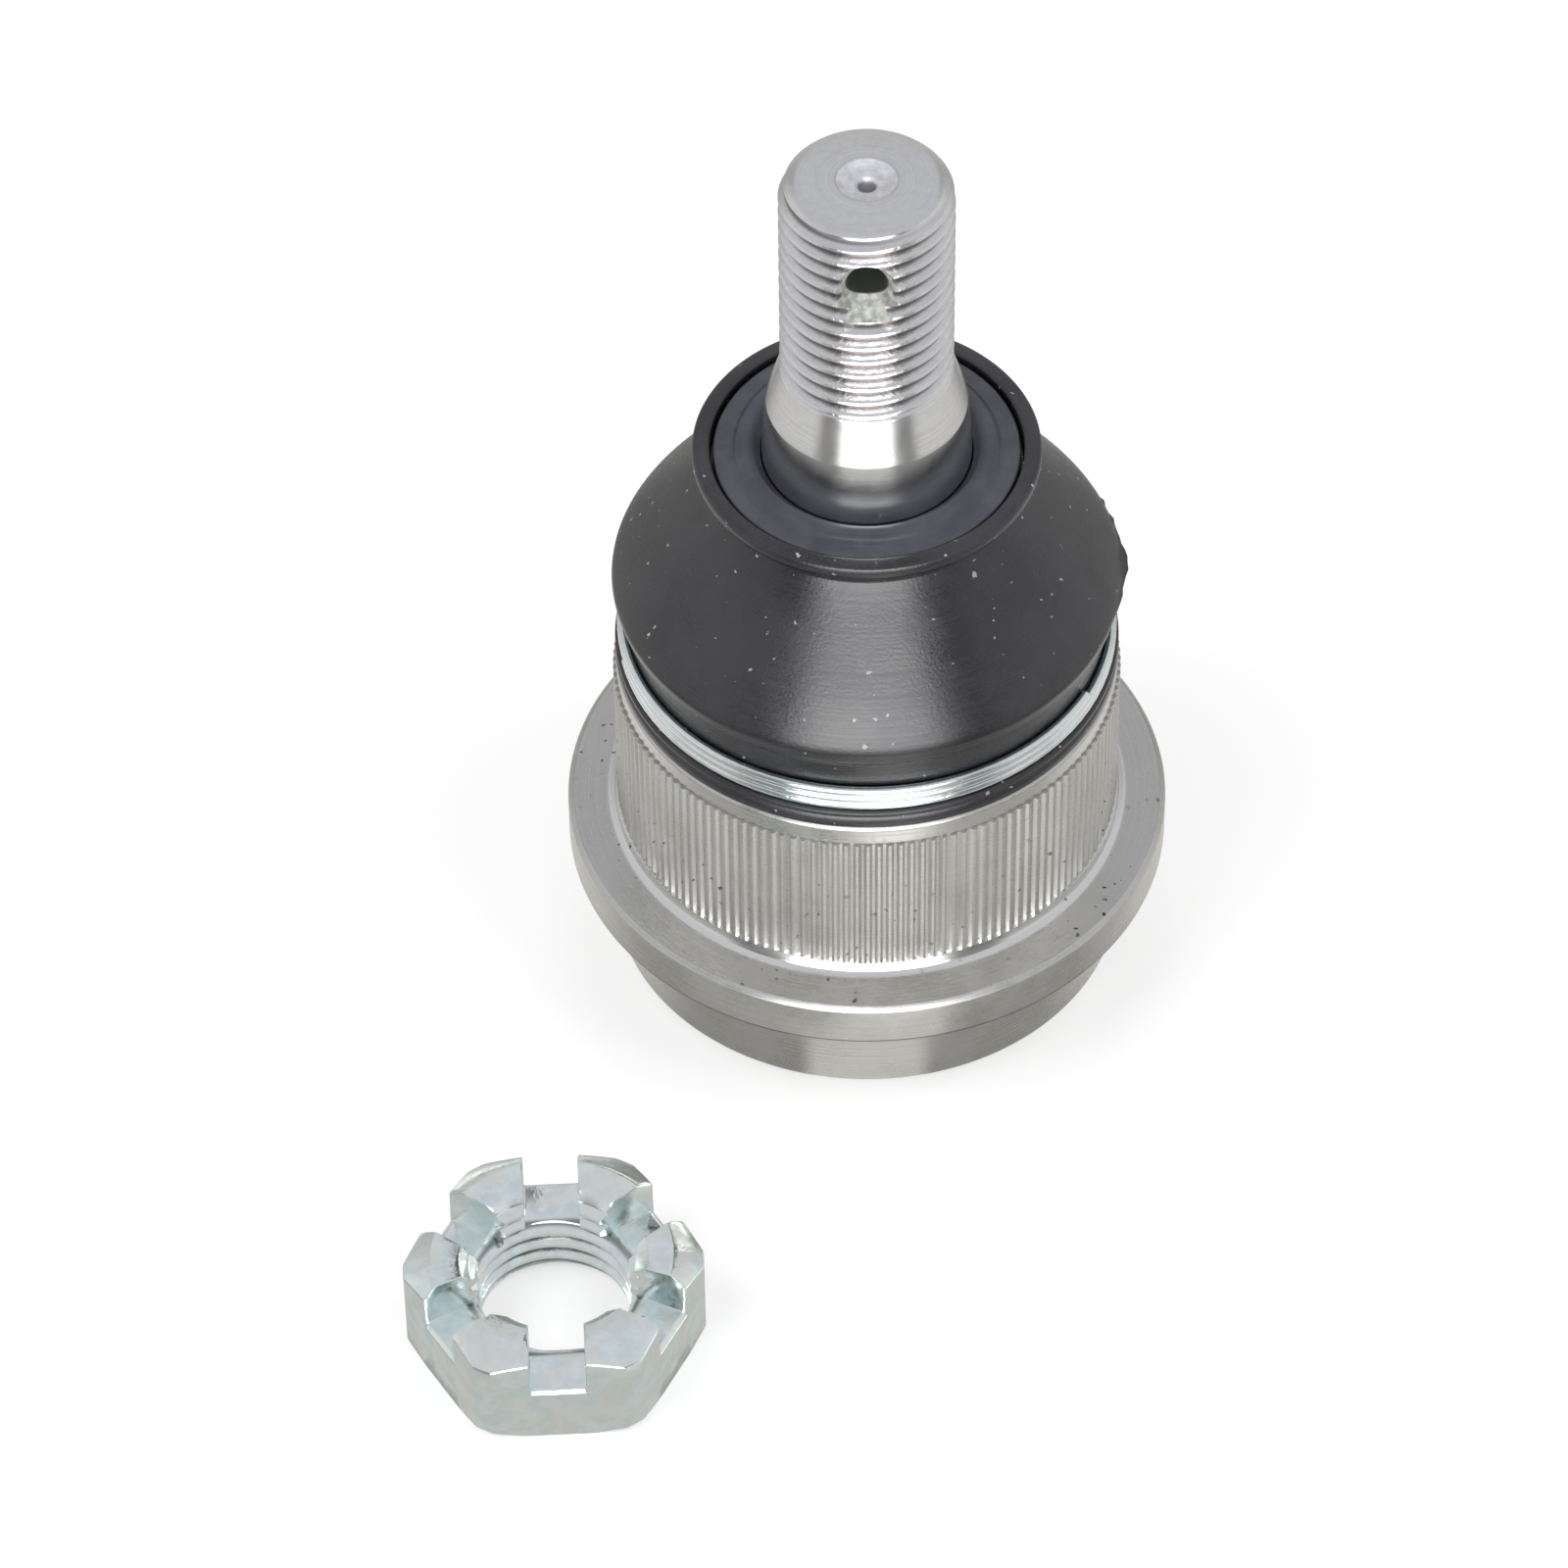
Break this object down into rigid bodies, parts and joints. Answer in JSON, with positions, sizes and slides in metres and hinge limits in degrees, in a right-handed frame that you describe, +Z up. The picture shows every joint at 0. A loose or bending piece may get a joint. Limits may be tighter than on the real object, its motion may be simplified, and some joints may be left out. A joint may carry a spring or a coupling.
{
  "type": "suspension ball joint",
  "caption": "Press-in suspension ball joint: knurled steel barrel with stop flange, rubber boot, threaded taper stud that swings and turns, and its loose castle nut.",
  "frame": {"origin": "centre of the ball, on the barrel's axis and within the length of its press-fit knurl", "axes": "+Z up along the barrel and the stud, towards the threaded end; -Y towards the side that the cotter hole and the nut's front slot face"},
  "size_m": [0.0631, 0.0846, 0.0838],
  "materials": {
    "housing_steel": "turned and knurled bare steel, lightly oiled",
    "cover_steel": "pressed steel plate",
    "spring_steel": "hardened spring steel, dark",
    "bearing_plastic": "natural acetal, smooth",
    "stud_steel": "turned bright steel with a rolled thread",
    "boot_rubber": "satin moulded rubber",
    "wire_zinc": "bluish zinc-plated wire",
    "washer_rubber": "smooth blue-grey satin",
    "nut_zinc": "bluish zinc plate"
  },
  "bodies": {
    "housing": {"housing": "housing_steel", "cover_plate": "cover_steel", "disc_spring": "spring_steel", "boot": "boot_rubber", "boot_clamp_ring": "wire_zinc"},
    "bearing": {"upper_bearing": "bearing_plastic", "lower_bearing": "bearing_plastic"},
    "boot_mouth": {"boot_washer": "washer_rubber"},
    "stud": {"ball_stud": "stud_steel"},
    "nut": {"castle_nut": "nut_zinc"}
  },
  "joints": [
    {"name": "swing_heading", "type": "hinge", "parent": "housing", "child": "bearing", "pos_m": [0, 0, 0], "axis": [0, 0, 1], "continuous": true},
    {"name": "stud_tilt", "type": "hinge", "parent": "bearing", "child": "boot_mouth", "pos_m": [0, 0, 0], "axis": [1, 0, 0], "range_deg": [-20, 20], "deforming": ["boot"]},
    {"name": "stud_spin", "type": "hinge", "parent": "boot_mouth", "child": "stud", "pos_m": [0, 0, 0], "axis": [0, 0, 1], "continuous": true},
    {"name": "nut_turn", "type": "hinge", "parent": "housing", "child": "nut", "pos_m": [-0.02545, -0.04795, -0.0209], "axis": [0, 0, 1], "continuous": true}
  ]
}
